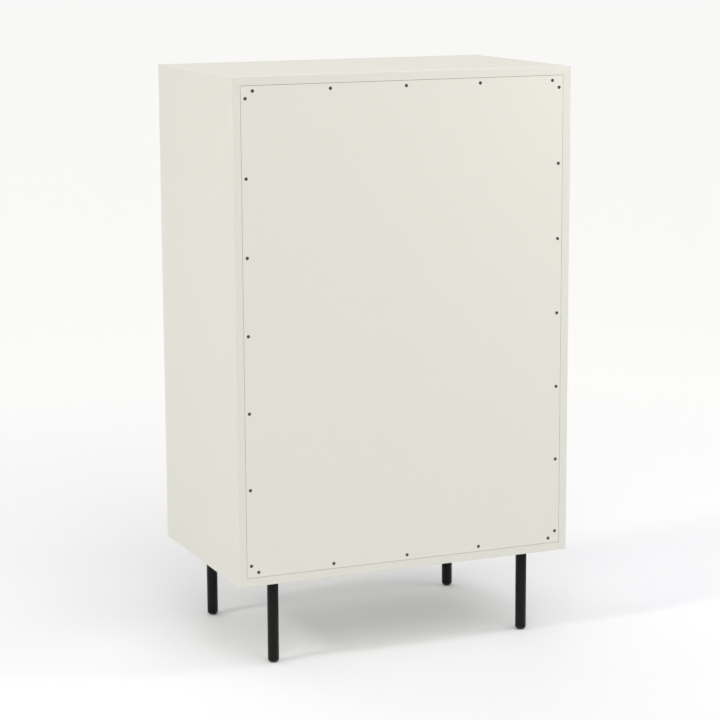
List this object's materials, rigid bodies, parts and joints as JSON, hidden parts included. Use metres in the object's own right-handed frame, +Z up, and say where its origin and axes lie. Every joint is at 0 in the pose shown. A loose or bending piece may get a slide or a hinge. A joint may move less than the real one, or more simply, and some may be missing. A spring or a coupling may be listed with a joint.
{
  "type": "tall chest of drawers",
  "caption": "Tall chest of full-width inset drawers on telescopic runners, in a mitred painted case with an inset screwed-on back, standing on slim round metal legs.",
  "frame": {"origin": "on the floor under the middle of the whole chest, pulls included, so the case itself is set 15 mm towards the rear", "axes": "+Z up, -Y towards a person facing the drawers, +X to that person's right, +Y towards the back panel"},
  "size_m": [0.8, 0.515, 1.295],
  "materials": {
    "case_paint": "satin off-white lacquer over fibreboard",
    "front_paint": "satin off-white lacquer over fibreboard",
    "batten_wood": "planed softwood, unfinished",
    "drawer_wood": "sanded birch, clear lacquer",
    "drawer_plywood": "birch plywood, clear lacquer",
    "black_powder_coat": "matt black powder coat on steel",
    "runner_steel": "zinc-plated rolled steel",
    "screw_steel": "zinc-plated steel",
    "black_nylon": "moulded black nylon"
  },
  "bodies": {
    "case": {"top_panel": "case_paint", "bottom_panel": "case_paint", "left_side_panel": "case_paint", "right_side_panel": "case_paint", "back_panel": "case_paint", "back_panel_screws": "screw_steel", "back_cleats": "batten_wood", "drawer_rails": "batten_wood", "case_runners": "runner_steel", "leg_glides": "black_nylon", "leg_nuts": "screw_steel", "front_left_leg": "black_powder_coat", "front_right_leg": "black_powder_coat", "rear_left_leg": "black_powder_coat", "rear_right_leg": "black_powder_coat"},
    "drawer_1": {"drawer_1_front": "front_paint", "drawer_1_box_front": "drawer_wood", "drawer_1_left_side": "drawer_wood", "drawer_1_right_side": "drawer_wood", "drawer_1_box_back": "drawer_wood", "drawer_1_bottom": "drawer_plywood", "drawer_1_pull": "black_powder_coat", "drawer_1_runners": "runner_steel"},
    "drawer_1_middle_runners": {"drawer_1_middle_runners": "runner_steel"},
    "drawer_2": {"drawer_2_front": "front_paint", "drawer_2_box_front": "drawer_wood", "drawer_2_left_side": "drawer_wood", "drawer_2_right_side": "drawer_wood", "drawer_2_box_back": "drawer_wood", "drawer_2_bottom": "drawer_plywood", "drawer_2_pull": "black_powder_coat", "drawer_2_runners": "runner_steel"},
    "drawer_2_middle_runners": {"drawer_2_middle_runners": "runner_steel"},
    "drawer_3": {"drawer_3_front": "front_paint", "drawer_3_box_front": "drawer_wood", "drawer_3_left_side": "drawer_wood", "drawer_3_right_side": "drawer_wood", "drawer_3_box_back": "drawer_wood", "drawer_3_bottom": "drawer_plywood", "drawer_3_pull": "black_powder_coat", "drawer_3_runners": "runner_steel"},
    "drawer_3_middle_runners": {"drawer_3_middle_runners": "runner_steel"},
    "drawer_4": {"drawer_4_front": "front_paint", "drawer_4_box_front": "drawer_wood", "drawer_4_left_side": "drawer_wood", "drawer_4_right_side": "drawer_wood", "drawer_4_box_back": "drawer_wood", "drawer_4_bottom": "drawer_plywood", "drawer_4_pull": "black_powder_coat", "drawer_4_runners": "runner_steel"},
    "drawer_4_middle_runners": {"drawer_4_middle_runners": "runner_steel"},
    "drawer_5": {"drawer_5_front": "front_paint", "drawer_5_box_front": "drawer_wood", "drawer_5_left_side": "drawer_wood", "drawer_5_right_side": "drawer_wood", "drawer_5_box_back": "drawer_wood", "drawer_5_bottom": "drawer_plywood", "drawer_5_pull": "black_powder_coat", "drawer_5_runners": "runner_steel"},
    "drawer_5_middle_runners": {"drawer_5_middle_runners": "runner_steel"}
  },
  "joints": [
    {"name": "drawer_1_slide", "type": "slide", "parent": "case", "child": "drawer_1", "axis": [0, -1, 0], "range_m": [0, 0.4]},
    {"name": "drawer_1_middle_runners_slide", "type": "slide", "parent": "case", "child": "drawer_1_middle_runners", "axis": [0, -1, 0], "range_m": [0, 0.2]},
    {"name": "drawer_2_slide", "type": "slide", "parent": "case", "child": "drawer_2", "axis": [0, -1, 0], "range_m": [0, 0.4]},
    {"name": "drawer_2_middle_runners_slide", "type": "slide", "parent": "case", "child": "drawer_2_middle_runners", "axis": [0, -1, 0], "range_m": [0, 0.2]},
    {"name": "drawer_3_slide", "type": "slide", "parent": "case", "child": "drawer_3", "axis": [0, -1, 0], "range_m": [0, 0.4]},
    {"name": "drawer_3_middle_runners_slide", "type": "slide", "parent": "case", "child": "drawer_3_middle_runners", "axis": [0, -1, 0], "range_m": [0, 0.2]},
    {"name": "drawer_4_slide", "type": "slide", "parent": "case", "child": "drawer_4", "axis": [0, -1, 0], "range_m": [0, 0.4]},
    {"name": "drawer_4_middle_runners_slide", "type": "slide", "parent": "case", "child": "drawer_4_middle_runners", "axis": [0, -1, 0], "range_m": [0, 0.2]},
    {"name": "drawer_5_slide", "type": "slide", "parent": "case", "child": "drawer_5", "axis": [0, -1, 0], "range_m": [0, 0.4]},
    {"name": "drawer_5_middle_runners_slide", "type": "slide", "parent": "case", "child": "drawer_5_middle_runners", "axis": [0, -1, 0], "range_m": [0, 0.2]}
  ],
  "couplings": [
    {"joint": "drawer_1_middle_runners_slide", "follows": "drawer_1_slide", "ratio": 0.5},
    {"joint": "drawer_2_middle_runners_slide", "follows": "drawer_2_slide", "ratio": 0.5},
    {"joint": "drawer_3_middle_runners_slide", "follows": "drawer_3_slide", "ratio": 0.5},
    {"joint": "drawer_4_middle_runners_slide", "follows": "drawer_4_slide", "ratio": 0.5},
    {"joint": "drawer_5_middle_runners_slide", "follows": "drawer_5_slide", "ratio": 0.5}
  ]
}
